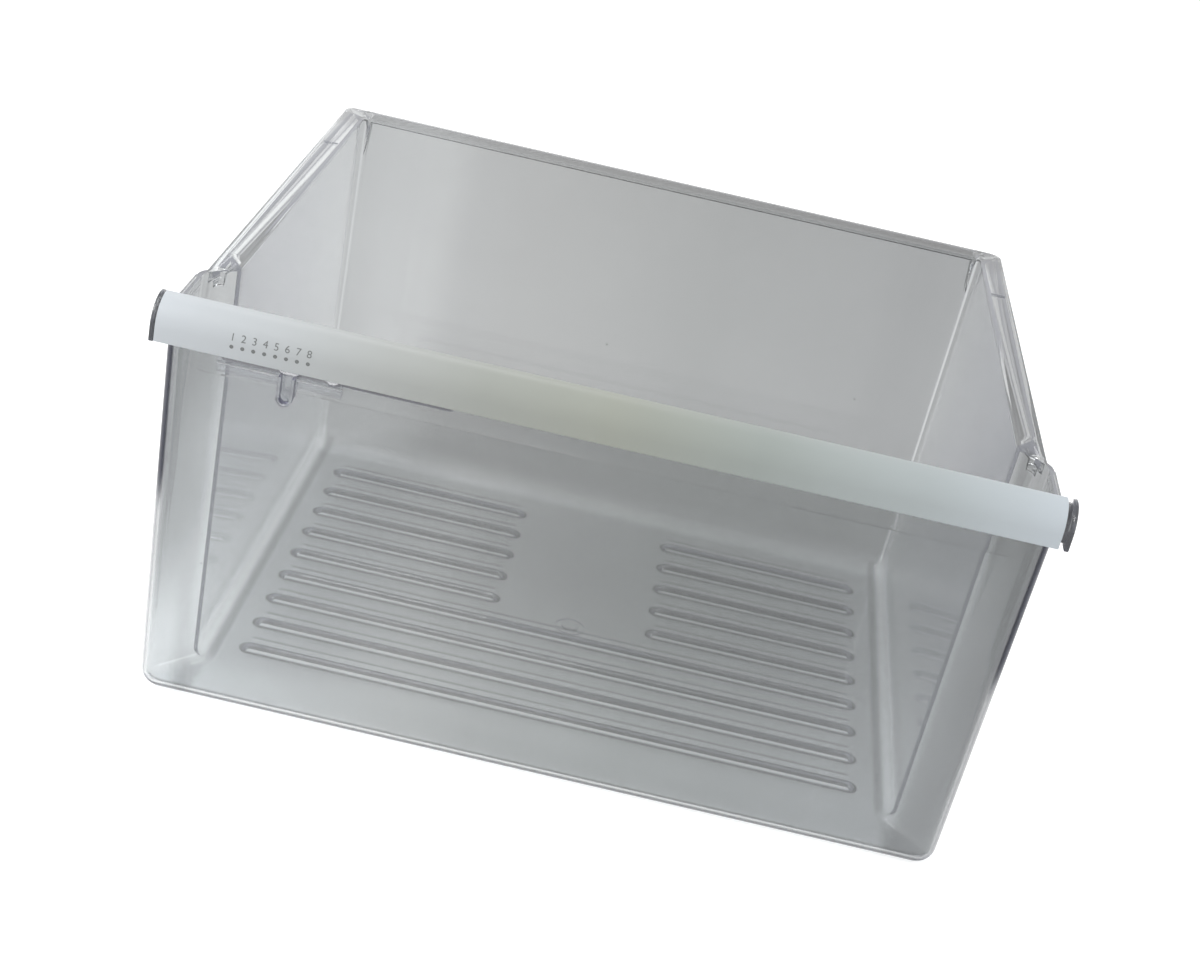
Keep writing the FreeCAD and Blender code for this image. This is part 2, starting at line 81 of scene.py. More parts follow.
# The bead on the slider, and the scale on the trim as lengths above its lower edge.
BEAD_RUNS = ((-181.4, -152.3), (-144.1, -123.4))
BEAD_Y = -181.65
BEAD_Z = 198.9
BEAD_RADIUS = 0.5
DOT_COUNT = 8
DOT_FIRST_X = -175.3
DOT_PITCH = 5.07
DOT_RADIUS = 0.95
DOT_LEVEL = 6.2
NUMBER_LEVEL = 9.2
NUMBER_SIZE = 5.0


# Mesh helpers

def new_object(name, data):
    obj = bpy.data.objects.new(name, data)
    bpy.context.scene.collection.objects.link(obj)
    return obj


def finished(name, bm):
    """Object from a bmesh, which is freed."""
    mesh = bpy.data.meshes.new(name)
    bm.to_mesh(mesh)
    bm.free()
    return new_object(name, mesh)


def smooth(obj, degrees):
    """Smooth shading with sharp edges above an angle and flat planes kept flat."""
    mesh = obj.data
    mesh.shade_smooth()
    mesh.set_sharp_from_angle(angle=math.radians(degrees))
    weighted = obj.modifiers.new("plane_normals", "WEIGHTED_NORMAL")
    weighted.mode = "FACE_AREA"
    weighted.weight = 80
    weighted.keep_sharp = True


# The bin

def rib_rows():
    """Middle lines of the floor ribs as (x0, x1, y)."""
    rows = []
    for row in range(RIB_COUNT):
        y = RIB_FIRST_Y - row * RIB_PITCH
        if row < SPLIT_ROWS:
            rows.append((-RIB_END, -RIB_GAP, y))
            rows.append((RIB_GAP, RIB_END, y))
        else:
            rows.append((-RIB_END, RIB_END, y))
    return rows


def bar_ring(x0, x1, y, radius, steps=14):
    """Ring round a bar with half-round ends, anticlockwise."""
    ring = []
    for centre, start in ((x1, -0.5 * math.pi), (x0, 0.5 * math.pi)):
        for i in range(steps + 1):
            a = start + math.pi * i / steps
            ring.append((centre + radius * math.cos(a), y + radius * math.sin(a)))
    return ring


def rib_profile(thickness, steps=7):
    """Cross-section of a rib as (distance from the middle line, height)."""
    reach = (RIB_HALF ** 2 + RIB_RISE ** 2) / (2.0 * RIB_RISE)
    crown_radius = reach - RIB_BASE_RADIUS
    turn = math.asin(RIB_HALF / reach)
    base = RIB_BASE_RADIUS + thickness
    crown = crown_radius - thickness
    profile = []
    for i in range(steps + 1):
        a = turn * i / steps
        profile.append((RIB_HALF - base * math.sin(a),
                        FLOOR + RIB_BASE_RADIUS - base * math.cos(a)))
    for i in range(1, steps):
        a = turn * (steps - i) / steps
        profile.append((crown * math.sin(a),
                        FLOOR + RIB_RISE - crown_radius + crown * math.cos(a)))
    return profile


def gate_profile():
    """Ring and nub of the gate mark as (radius, height)."""
    shape = [(GATE_RADIUS, 0.0), (8.8, 0.12), (8.55, 0.3), (8.3, 0.3), (8.05, 0.12), (7.85, 0.0),
             (5.0, 0.0), (4.75, 0.12), (4.5, 0.38), (4.1, 0.5), (3.0, 0.5), (1.2, 0.5)]
    return [(r, FLOOR + h) for r, h in shape]


def add_rings(bm, rings, up):
    """Bands of faces between rings of points, closed by a cap; returns the first ring."""
    loops = [[bm.verts.new((x * MM, y * MM, z * MM)) for x, y, z in ring] for ring in rings]
    for outer, inner in zip(loops, loops[1:]):
        count = len(outer)
        for i in range(count):
            j = (i + 1) % count
            face = [outer[i], outer[j], inner[j], inner[i]]
            bm.faces.new(face if up else face[::-1])
    bm.faces.new(loops[-1] if up else loops[-1][::-1])
    return loops[0]


def in_outline(x, y, outline):
    """True for a point inside a closed outline of line pieces."""
    inside = False
    for a, b in outline:
        if (a.y > y) != (b.y > y) and x < a.x + (y - a.y) * (b.x - a.x) / (b.y - a.y):
            inside = not inside
    return inside


def fill_plane(bm, outer_edges, holes, up):
    """Flat faces between an outer loop and the first rings of the holes."""
    verts = []
    index = {}
    edges = []

    def number(v):
        if v not in index:
            index[v] = len(verts)
            verts.append(v)
        return index[v]

    for edge in outer_edges:
        edges.append((number(edge.verts[0]), number(edge.verts[1])))
    for ring, inside in holes:
        for i, v in enumerate(ring):
            edges.append((number(v), number(ring[(i + 1) % len(ring)])))
    flat = [Vector((v.co.x / MM, v.co.y / MM)) for v in verts]
    outline = [(flat[a], flat[b]) for a, b in edges[:len(outer_edges)]]
    triangles, origins = delaunay_2d_cdt(flat, edges, [], 1, 1e-5, True)[2:4]
    for corner_ids in triangles:
        picked = [verts[origins[i][0]] for i in corner_ids]
        middle = sum((v.co for v in picked), Vector()) / (len(picked) * MM)
        if not in_outline(middle.x, middle.y, outline):
            continue
        if any(inside(middle.x, middle.y) for ring, inside in holes):
            continue
        turn = (picked[1].co - picked[0].co).cross(picked[2].co - picked[0].co).z
        if (turn > 0) != up:
            picked.reverse()
        bm.faces.new(picked)


def near_bar(x0, x1, y, radius):
    """Test for points nearer to a middle line than a radius."""
    def inside(px, py):
        x = min(max(px, x0), x1)
        return math.hypot(px - x, py - y) < radius * 0.998
    return inside


def in_floor_zone(face):
    """True for the flat floor, the ribs and what lies under them."""
    zs = [v.co.z / MM for v in face.verts]
    if max(zs) < 0.01 or (min(zs) > FLOOR - 0.01 and max(zs) < FLOOR + 0.01):
        return True
    return all(abs(v.co.x) < FIELD_HALF * MM and v.co.z < FIELD_TOP * MM
               and FIELD_FRONT * MM < v.co.y < FIELD_BACK * MM for v in face.verts)


def on_painted_dark_edge(face):
    """True for the lower wall of the vent slot and the ledge under the front band (painted shade).
    """
    centre = face.calc_center_median() / MM
    up = face.normal.z
    in_slot = all(low < value < high for value, (low, high) in zip(centre, SLOT_BOX))
    on_ledge = LEDGE_Z[0] < centre.z < LEDGE_Z[1] and centre.y < LEDGE_Y
    return (in_slot and up > 0.3) or (on_ledge and up < -0.5)


def make_pan():
    """The bin's shell with smooth pressed ribs in its floor."""
    bm = bmesh.new()
    bm.from_mesh(nodes["pan"].data)
    bmesh.ops.remove_doubles(bm, verts=bm.verts, dist=1e-6)
    old = [f for f in bm.faces if in_floor_zone(f)]
    bmesh.ops.delete(bm, geom=old, context="FACES")
    bmesh.ops.delete(bm, geom=[v for v in bm.verts if not v.link_faces], context="VERTS")
    rims = [e for e in bm.edges if len(e.link_faces) == 1]
    for thickness, up in ((0.0, True), (FLOOR, False)):
        level = (FLOOR - thickness) * MM
        outer = [e for e in rims if abs(e.verts[0].co.z - level) < 1e-5]
        profile = rib_profile(thickness)
        holes = []
        for x0, x1, y in rib_rows():
            rings = [[(px, py, z) for px, py in bar_ring(x0, x1, y, r)] for r, z in profile]
            holes.append((add_rings(bm, rings, up), near_bar(x0, x1, y, RIB_HALF)))
        if up:
            rings = [[(px, py, z) for px, py in bar_ring(0.0, 0.0, GATE_Y, r, 24)]
                     for r, z in gate_profile()]
            ring = add_rings(bm, rings, True)
            holes.append((ring, near_bar(0.0, 0.0, GATE_Y, GATE_RADIUS)))
        fill_plane(bm, outer, holes, up)
    bmesh.ops.remove_doubles(bm, verts=bm.verts, dist=1e-7)
    for face in bm.faces:
        if on_painted_dark_edge(face):
            face.material_index = 1
    obj = finished("bin", bm)
    smooth(obj, 28)
    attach(obj, "pan_body")
    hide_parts("pan")
    return obj


# The trim

def arc_points(radius, y0, y1, steps=40):
    """Points of a handle arc between two depths, evenly turned."""
    centre = TRIM_FRONT_Y + TRIM_RADIUS
    a0 = math.acos(max(-1.0, min(1.0, (y0 - centre) / radius)))
    a1 = math.acos(max(-1.0, min(1.0, (y1 - centre) / radius)))
    return [(centre + radius * math.cos(a0 + (a1 - a0) * i / steps),
             TRIM_BEND_Z + radius * math.sin(a0 + (a1 - a0) * i / steps))
            for i in range(steps + 1)]


def trim_section():
    """Closed outline of the trim as (y, z), with its small roundings and snap beads."""
    front = TRIM_FRONT_Y
    back = TRIM_BACK_Y
    bottom = TRIM_BOTTOM
    inner_front = front + TRIM_WALL
    lip = back - TRIM_LIP
    top = TRIM_BEND_Z + math.sqrt(TRIM_RADIUS ** 2 - (back - front - TRIM_RADIUS) ** 2)
    drop = top - TRIM_DROP
    outline = [(front + 0.5, bottom), (front + 0.15, bottom + 0.15), (front, bottom + 0.5)]
    outline += arc_points(TRIM_RADIUS, front, back - 0.4)
    outline += [(back - 0.05, top - 0.25), (back, top - 0.7), (back, drop + 0.3),
                (back - 0.3, drop), (lip, drop), (lip - SNAP_DEPTH, drop + 0.6),
                (lip, drop + SNAP_HEIGHT)]
    outline += arc_points(TRIM_RADIUS - TRIM_WALL, lip, inner_front)
    outline += [(inner_front, SNAP_TOP), (inner_front + SNAP_DEPTH, SNAP_TOP),
                (inner_front, SNAP_TOP - SNAP_HEIGHT), (inner_front, bottom + 0.5),
                (inner_front - 0.4, bottom)]
    return outline


def make_trim(stations=24):
    """White strip with its ends slightly rounded."""
    outline = trim_section()
    count = len(outline)
    bm = bmesh.new()
    loops = []
    for k in range(stations + 1):
        x = TRIM_X0 + (TRIM_X1 - TRIM_X0) * k / stations
        loops.append([bm.verts.new((x * MM, y * MM, z * MM)) for y, z in outline])
    for first, second in zip(loops, loops[1:]):
        for i in range(count):
            j = (i + 1) % count
            bm.faces.new((first[i], second[i], second[j], first[j]))
    bm.faces.new(loops[0])
    bm.faces.new(loops[-1][::-1])
    bmesh.ops.recalc_face_normals(bm, faces=bm.faces)
    ends = [f for f in bm.faces if len(f.verts) > 4]
    rim_edges = [e for f in ends for e in f.edges]
    bmesh.ops.bevel(bm, geom=rim_edges, offset=0.25 * MM, segments=2, profile=0.5,
                    affect="EDGES", clamp_overlap=True)
    obj = finished("trim", bm)
    smooth(obj, 28)
    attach(obj, "pan_body")
    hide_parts("handle_trim")
    return obj


def on_trim(x, along, lift=0.04):
    """Point on the trim's face, at a length along its section above the lower edge."""
    straight = TRIM_BEND_Z - TRIM_BOTTOM
    radius = TRIM_RADIUS + lift
    if along <= straight:
        return Vector((x, TRIM_FRONT_Y - lift, TRIM_BOTTOM + along)) * MM
    a = (along - straight) / TRIM_RADIUS
    y = TRIM_FRONT_Y + TRIM_RADIUS - radius * math.cos(a)
    return Vector((x, y, TRIM_BEND_Z + radius * math.sin(a))) * MM


def add_number(bm, text, x):
    """One plain number of the scale, laid on the trim's curved face."""
    curve = bpy.data.curves.new("number", "FONT")
    curve.body = text
    curve.align_x = "CENTER"
    curve.size = NUMBER_SIZE
    obj = new_object("number", curve)
    flat = bpy.data.meshes.new_from_object(obj)
    bpy.data.objects.remove(obj)
    part = bmesh.new()
    part.from_mesh(flat)
    bmesh.ops.triangulate(part, faces=part.faces)
    bmesh.ops.subdivide_edges(part, edges=part.edges, cuts=1)
    laid = {v: bm.verts.new(on_trim(x + v.co.x, NUMBER_LEVEL + v.co.y)) for v in part.verts}
    for face in part.faces:
        bm.faces.new([laid[v] for v in face.verts])
    part.free()
    bpy.data.meshes.remove(flat)


def make_marks(steps=20):
    """Printed scale on the trim: a row of dots with plain numbers over it."""
    bm = bmesh.new()
    for k in range(DOT_COUNT):
        x = DOT_FIRST_X + DOT_PITCH * k
        ring = []
        for i in range(steps):
            a = 2.0 * math.pi * i / steps
            ring.append(bm.verts.new(on_trim(x + DOT_RADIUS * math.cos(a),
                                             DOT_LEVEL + DOT_RADIUS * math.sin(a))))
        bm.faces.new(ring[::-1])
        add_number(bm, str(k + 1), x)
    for face in bm.faces:
        face.normal_update()
        if face.normal.y > 0:
            face.normal_flip()
    obj = finished("scale_marks", bm)
    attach(obj, "pan_body")
    return obj


# The slider

def make_bead(steps=8):
    """Fine bead along the slider's face, level with the slot's lower edge."""
    bm = bmesh.new()
    arc = [(BEAD_Y - BEAD_RADIUS * math.sin(math.pi * i / steps),
            BEAD_Z + BEAD_RADIUS * math.cos(math.pi * i / steps)) for i in range(steps + 1)]
    count = len(arc)
    for run in BEAD_RUNS:
        start, end = [[bm.verts.new(Vector((x, y, z)) * MM) for y, z in arc] for x in run]
        for i in range(count):
            j = (i + 1) % count
            bm.faces.new((start[i], start[j], end[j], end[i]))
        bm.faces.new(start[::-1])
        bm.faces.new(end)
    bmesh.ops.recalc_face_normals(bm, faces=bm.faces)
    obj = finished("slider_bead", bm)
    smooth(obj, 40)
    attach(obj, "slider")
    return obj


def soften(obj, width, degrees):
    """Small rounded edges on a part that keeps its own mesh."""
    weld = obj.modifiers.new("weld", "WELD")
    weld.merge_threshold = 1e-6
    bevel = obj.modifiers.new("edges", "BEVEL")
    bevel.width = width * MM
    bevel.segments = 2
    bevel.limit_method = "ANGLE"
    bevel.angle_limit = math.radians(degrees)
    bevel.harden_normals = True


# Materials

class Nodes:
    """Short way to write a node tree."""

    def __init__(self, name):
        self.mat = bpy.data.materials.new(name)
        self.mat.use_nodes = True
        self.tree = self.mat.node_tree
        self.tree.nodes.clear()
        self.out = self.tree.nodes.new("ShaderNodeOutputMaterial")

    def add(self, kind, values=None, **settings):
        node = self.tree.nodes.new("ShaderNode" + kind)
        for key, value in settings.items():
            setattr(node, key, value)
        for key, value in (values or {}).items():
            node.inputs[key].default_value = value
        return node

    def link(self, start, end):
        self.tree.links.new(start, end)

    def finish(self, surface):
        self.link(surface, self.out.inputs["Surface"])
        return self.mat

    def math(self, operation, a, b=None, c=None):
        node = self.add("Math", operation=operation)
        for socket, value in zip(node.inputs, (a, b, c)):
            if value is None:
                continue
            if isinstance(value, (int, float)):
                socket.default_value = value
            else:
                self.link(value, socket)
        return node.outputs[0]

    def hypot(self, a, b):
        squares = [self.math("MULTIPLY", side, side) for side in (a, b)]
        return self.math("SQRT", self.math("ADD", *squares))

    def product(self, first, *others):
        for factor in others:
            first = self.math("MULTIPLY", first, factor)
        return first

    def step(self, value, start, end, low=0.0, high=1.0):
        """Smooth change from low to high between two values."""
        node = self.add("MapRange", {"From Min": start, "From Max": end, "To Min": low,
                                     "To Max": high}, interpolation_type="SMOOTHSTEP")
        self.link(value, node.inputs["Value"])
        return node.outputs[0]

    def scale(self, value, ends, span=(0.0, 1.0)):
        """Straight change between two ends, over a span of the value."""
        node = self.add("MapRange", {"From Min": span[0], "From Max": span[1],
                                     "To Min": ends[0], "To Max": ends[1]})
        self.link(value, node.inputs["Value"])
        return node.outputs[0]

    def gain(self, level, mask, amount):
        """A level made higher, or lower below zero, by an amount inside a mask."""
        return self.math("MULTIPLY", level, self.math("MULTIPLY_ADD", mask, amount, 1.0))

    def ramp(self, factor, stops):
        node = self.add("ValToRGB")
        elements = node.color_ramp.elements
        while len(elements) < len(stops):
            elements.new(0.5)
        for element, (place, colour) in zip(elements, stops):
            element.position = place
            element.color = (*colour, 1.0)
        self.link(factor, node.inputs["Fac"])
        return node.outputs["Color"]

    def place(self):
        """Object coordinates in metres."""
        return self.add("TexCoord").outputs["Object"]

    def split(self, vector):
        node = self.add("SeparateXYZ")
        self.link(vector, node.inputs[0])
        return node.outputs

    def noise(self, where, scale, detail):
        node = self.add("TexNoise", {"Scale": scale, "Detail": detail})
        self.link(where, node.inputs["Vector"])
        return node.outputs["Fac"]

    def multiply_colours(self, first, second):
        node = self.add("Mix", data_type="RGBA", blend_type="MULTIPLY")
        node.inputs[0].default_value = 1.0
        self.link(first, node.inputs[6])
        self.link(second, node.inputs[7])
        return node.outputs[2]

    def bump(self, height, strength, distance, shader):
        node = self.add("Bump", {"Strength": strength, "Distance": distance})
        self.link(height, node.inputs["Height"])
        self.link(node.outputs["Normal"], shader.inputs["Normal"])

    def mix(self, factor, first, second):
        node = self.add("MixShader")
        self.link(factor, node.inputs["Fac"])
        self.link(first, node.inputs[1])
        self.link(second, node.inputs[2])
        return node.outputs[0]

    def mask(self, places, limits):
        """One where every limit holds.

        A limit has a kind, the name of a place, and values in metres. A ramp rises from
        its first value to its second. A band has a centre, a full and a fading half
        width. Above and below are hard.
        """
        factors = []
        for kind, name, *values in limits:
            place = places[name]
            if kind == "ramp":
                factors.append(self.step(place, *values))
            elif kind == "band":
                centre, full, fading = values
                away = self.math("ABSOLUTE", self.math("SUBTRACT", place, centre))
                factors.append(self.step(away, full, fading, 1.0, 0.0))
            else:
                operation = "GREATER_THAN" if kind == "above" else "LESS_THAN"
                factors.append(self.math(operation, place, values[0]))
        return self.product(*factors)


# Painted light and shade on the bin, as gains on its tint.
# The zones of the bin are clearer (gain above zero) or greyer (below) than its plain tint,
# to follow the light in the photograph. Each has its gain and its limits. The places are
# x, y and z, side (the distance from the middle plane), foot (the distance from the front
# wall's foot), shade (the distance from the darkest spot of the floor), inward (from the
# outermost front edge), front, corner and step (across the front wall, the line in a back
# corner and the step's slanted wall).
FRONT_WALL = ("below", "front", -0.1499)
BIN_ZONES = (
    # Painted light near the front wall's foot, and painted shade at the back.
    (0.17, (("ramp", "foot", 0.17, 0.0),)),
    (-0.32, (("ramp", "y", 0.146, 0.163),)),
    # Floor: painted shade on its darkest spot and left part, a painted light strip along the back
    # wall.
    (-0.18, (("ramp", "z", 0.012, 0.006), ("ramp", "shade", 0.20, 0.04))),
    (-0.15, (("ramp", "z", 0.012, 0.006), ("ramp", "x", -0.08, -0.14),
             ("ramp", "y", -0.140, -0.105))),
    (0.25, (("ramp", "z", 0.014, 0.004), ("ramp", "y", 0.142, 0.152))),
    # Painted light on the foot of the left side and a pale column of the back wall, and painted
    # shade on the slanted walls of the steps.
    (0.25, (("ramp", "x", -0.186, -0.194), ("ramp", "y", -0.10, -0.125),
            ("ramp", "z", 0.10, 0.03))),
    (0.12, (("band", "x", -0.15, 0.005, 0.04), ("above", "y", 0.155))),
    (-0.33, (("band", "step", -0.00125, 0.0018, 0.0028), ("ramp", "z", 0.12, 0.20))),
    # Fillet between the floor and the side walls: painted shade low in it, painted light above.
    (-0.25, (("band", "side", 0.1803, 0.0008, 0.0035), ("ramp", "y", -0.125, -0.110),
             ("below", "z", 0.006))),
    (0.16, (("band", "side", 0.1860, 0.0010, 0.0032), ("ramp", "y", -0.125, -0.110),
            ("ramp", "z", 0.016, 0.012))),
)
# Rim flanges and side walls with painted light and shade, back corners with a painted highlight
# line, and the outline with a painted dark line; these have more to their gain.
SIDE_FLANGE = (("ramp", "side", 0.1945, 0.1965), ("above", "y", -0.118))
BACK_FLANGE = (("ramp", "y", 0.1735, 0.1755),)
FLANGE_GAIN = -0.13
FLANGE_SLOPE = -0.8
SIDE_WALL = (("ramp", "side", 0.1775, 0.1850), ("ramp", "y", 0.165, 0.140))
SIDE_STEP = (-0.135, -0.112)
SIDE_GAINS = (-0.2, 0.03)
# Painted highlight: a light line down each back corner, stronger to the right.
CORNER_HIGHLIGHT = (("band", "corner", 0.0, 0.0004, 0.0016), ("above", "corner_x", 0.003),
          ("ramp", "z", 0.004, 0.012))
CORNER_GAIN = 0.55
CORNER_SLOPE = 1.5
# Painted shade: a dark line along the foot and the outer edges of the front.
OUTLINE_FOOT = (("ramp", "z", 0.0030, 0.0010), ("ramp", "y", -0.1470, -0.1490))
OUTLINE_SIDE = (("ramp", "inward", 0.0028, 0.0008), FRONT_WALL)
OUTLINE_GAIN = -0.5

# Painted light and dark lines of the floor ribs, in the same form. The places are across (from
# the middle line, to the back), past_end (beyond the end of the middle line), reach (from
# the whole middle line) and spot (from the painted glint near an end).
STRAIGHT = ("ramp", "past_end", 0.002, 0.0)
RIB_ZONES = (
    (-0.50, (("band", "across", 0.0114, 0.0005, 0.0015), STRAIGHT)),
    (0.20, (("band", "across", 0.0088, 0.0006, 0.0020), STRAIGHT)),
    (-0.75, (("band", "across", 0.0021, 0.0009, 0.0021), STRAIGHT)),
    (0.95, (("band", "across", -0.0027, 0.0007, 0.0015), STRAIGHT)),
    (-0.80, (("band", "across", -0.0049, 0.0004, 0.0013), STRAIGHT)),
    (-0.15, (("ramp", "across", -0.013, -0.0055), ("below", "across", 0.0),
             ("above", "reach", 0.0054), STRAIGHT)),
    (-0.80, (("band", "reach", 0.0050, 0.0004, 0.0014), ("ramp", "past_end", -0.0005, 0.0015))),
    (0.80, (("ramp", "spot", 0.0024, 0.0010),)),
)
# The ribs' upper face: where it is with the slope of its sides counted in.
RIB_FACE = (("above", "face", 0.00345), ("below", "z", 0.0065), ("below", "side", 0.178),
            ("below", "field", 0.0005 * RIB_COUNT * RIB_PITCH))
RIB_FACE_SLOPE = 0.2128
GLINT_PAST_END = 0.0003
GLINT_ACROSS = 0.0014

# Painted shade on the dark edges of the bin: the upper part of its outermost front edges, a thin
# line all the way down them, the end plates, which lie outside of them, and the line at the
# bottom.
WIDE_EDGE = (("ramp", "inward", 0.0054, 0.0040), ("ramp", "z", 0.105, 0.135))
THIN_EDGE = (("ramp", "inward", 0.0013, 0.0005),)
THIN_PART = 0.5
PLATE_PART = 0.4
BOTTOM_EDGE = (("band", "z", 0.0042, 0.0004, 0.0013), ("ramp", "y", -0.1475, -0.1490))
BOTTOM_PART = 0.35


# Planes that the bin's places are measured from: the lean for each metre of height, and
# the distance at the floor. The step's slanted wall also has a direction, as x and y.
SIDE_PLANE = (0.0262, 0.1796)
BACK_PLANE = (0.0524, 0.1524)
STEP_PLANE = (0.0569, 0.0634)
STEP_FACING = (0.7546, 0.6561)
OUTER_PLANE = (0.0023, 0.2079)
FRONT_LEAN = 0.1033
FOOT_Y = -0.16
DARKEST_SPOT = (0.07, 0.06)


def bin_places(n):
    """The places, in metres, that the bin's zones are given by."""
    x, y, z = n.split(n.place())
    side = n.math("ABSOLUTE", x)
    corner_x = n.math("SUBTRACT", side, n.math("MULTIPLY_ADD", z, *SIDE_PLANE))
    corner_y = n.math("SUBTRACT", y, n.math("MULTIPLY_ADD", z, *BACK_PLANE))
    facing_x, facing_y = STEP_FACING
    slanted = n.math("MULTIPLY_ADD", side, facing_x, n.math("MULTIPLY", y, facing_y))
    spot_x, spot_y = DARKEST_SPOT
    return {
        "x": x, "y": y, "z": z, "side": side,
        "foot": n.hypot(n.math("SUBTRACT", y, FOOT_Y), z),
        "shade": n.hypot(n.math("SUBTRACT", x, spot_x), n.math("SUBTRACT", y, spot_y)),
        "inward": n.math("SUBTRACT", n.math("MULTIPLY_ADD", z, *OUTER_PLANE), side),
        "front": n.math("MULTIPLY_ADD", z, FRONT_LEAN, y),
        "corner": n.math("SUBTRACT", corner_x, corner_y),
        "corner_x": corner_x,
        "step": n.math("SUBTRACT", slanted, n.math("MULTIPLY_ADD", z, *STEP_PLANE)),
    }


def rib_places(n, places):
    """The places that the zones of the floor ribs are given by."""
    y, z, side = places["y"], places["z"], places["side"]
    split_y = RIB_FIRST_Y - (SPLIT_ROWS - 0.5) * RIB_PITCH
    middle_y = RIB_FIRST_Y - 0.5 * (RIB_COUNT - 1) * RIB_PITCH
    short = n.math("GREATER_THAN", y, split_y * MM)
    centre = n.math("MULTIPLY", short, 0.5 * (RIB_END + RIB_GAP) * MM)
    half = n.math("MULTIPLY_ADD", short, -0.5 * (RIB_END + RIB_GAP) * MM, RIB_END * MM)
    past_end = n.math("SUBTRACT", n.math("ABSOLUTE", n.math("SUBTRACT", side, centre)), half)
    row_y = n.math("WRAP", y, (RIB_FIRST_Y + 0.5 * RIB_PITCH) * MM,
                   (RIB_FIRST_Y - 0.5 * RIB_PITCH) * MM)
    across = n.math("SUBTRACT", row_y, RIB_FIRST_Y * MM)
    reach = n.hypot(n.math("MAXIMUM", past_end, 0.0), across)
    return {
        "z": z, "side": side, "across": across, "past_end": past_end, "reach": reach,
        "face": n.math("MULTIPLY_ADD", reach, RIB_FACE_SLOPE, z),
        "field": n.math("ABSOLUTE", n.math("SUBTRACT", y, middle_y * MM)),
        "spot": n.hypot(n.math("ADD", past_end, GLINT_PAST_END),
                        n.math("ADD", across, GLINT_ACROSS)),
    }


def bin_painted_light(n):
    """Painted light and shade: how much clearer or greyer each bin zone is than its plain tint."""
    places = bin_places(n)
    side = n.mask(places, SIDE_WALL)
    side_gain = n.step(places["y"], *SIDE_STEP, *SIDE_GAINS)
    level = n.math("MULTIPLY_ADD", side, side_gain, 1.0)
    for gain, limits in BIN_ZONES:
        level = n.gain(level, n.mask(places, limits), gain)
    flange = n.math("MAXIMUM", n.mask(places, SIDE_FLANGE), n.mask(places, BACK_FLANGE))
    flange_gain = n.math("MULTIPLY_ADD", places["x"], FLANGE_SLOPE, FLANGE_GAIN)
    level = n.gain(level, flange, flange_gain)
    corner_gain = n.math("MULTIPLY_ADD", places["x"], CORNER_SLOPE, CORNER_GAIN)
    level = n.gain(level, n.mask(places, CORNER_HIGHLIGHT), corner_gain)
    outline = n.math("MAXIMUM", n.mask(places, OUTLINE_FOOT), n.mask(places, OUTLINE_SIDE))
    level = n.gain(level, outline, OUTLINE_GAIN)
    places = rib_places(n, places)
    face = n.mask(places, RIB_FACE)
    for gain, limits in RIB_ZONES:
        level = n.gain(level, n.product(n.mask(places, limits), face), gain)
    return level


def bin_edges(n):
    """Where the bin's plastic is seen edge on, drawn as painted dark edges."""
    places = bin_places(n)
    thin = n.math("MULTIPLY", n.mask(places, THIN_EDGE), THIN_PART)
    upright = n.product(n.math("MAXIMUM", n.mask(places, WIDE_EDGE), thin),
                        n.mask(places, (FRONT_WALL,)),
                        n.step(places["inward"], -0.0010, -0.0005, PLATE_PART, 1.0))
    bottom = n.math("MULTIPLY", n.mask(places, BOTTOM_EDGE), BOTTOM_PART)
    return n.math("MAXIMUM", upright, bottom)


def slider_edges(n):
    """Faces of the slider that don't look to the front or the back: its painted dark edges."""
    normal = n.split(n.add("NewGeometry").outputs["Normal"])
    return n.step(n.math("ABSOLUTE", normal[1]), 0.55, 0.85, 1.0, 0.0)


# Tint stops run along x, on the bin greyer to the right as painted shade. Shadow is what the
# shadow keeps, edge is the colour of the painted dark edges, and the depth glow is a painted
# light: the grey of a path that the plastic doesn't let out again. Wave is the height of the
# moulding waves.
PAN_LOOK = {
    "tint_and_shade": [(0.0, (0.635, 0.652, 0.66)), (0.3, (0.57, 0.58, 0.58)),
             (0.6, (0.505, 0.518, 0.518)), (1.0, (0.50, 0.513, 0.52))],
    "roughness": 0.03, "wave": 0.00012,
    "shadow": (0.72, 0.73, 0.74), "depth_glow": (0.42, 0.43, 0.47),
    "edge": (0.05, 0.052, 0.07), "edge_ior": 1.12,
}
SLIDER_LOOK = {
    "tint_and_shade": [(0.0, (0.80, 0.81, 0.83)), (1.0, (0.80, 0.81, 0.83))],
    "roughness": 0.02, "wave": 0.0001,
    "shadow": (0.85, 0.85, 0.86), "depth_glow": (0.30, 0.30, 0.38),
    "edge": (0.26, 0.26, 0.33), "edge_ior": 1.52,
}
DEEP_RAYS = 10.5
DEEP_REFLECTIONS = 3.5


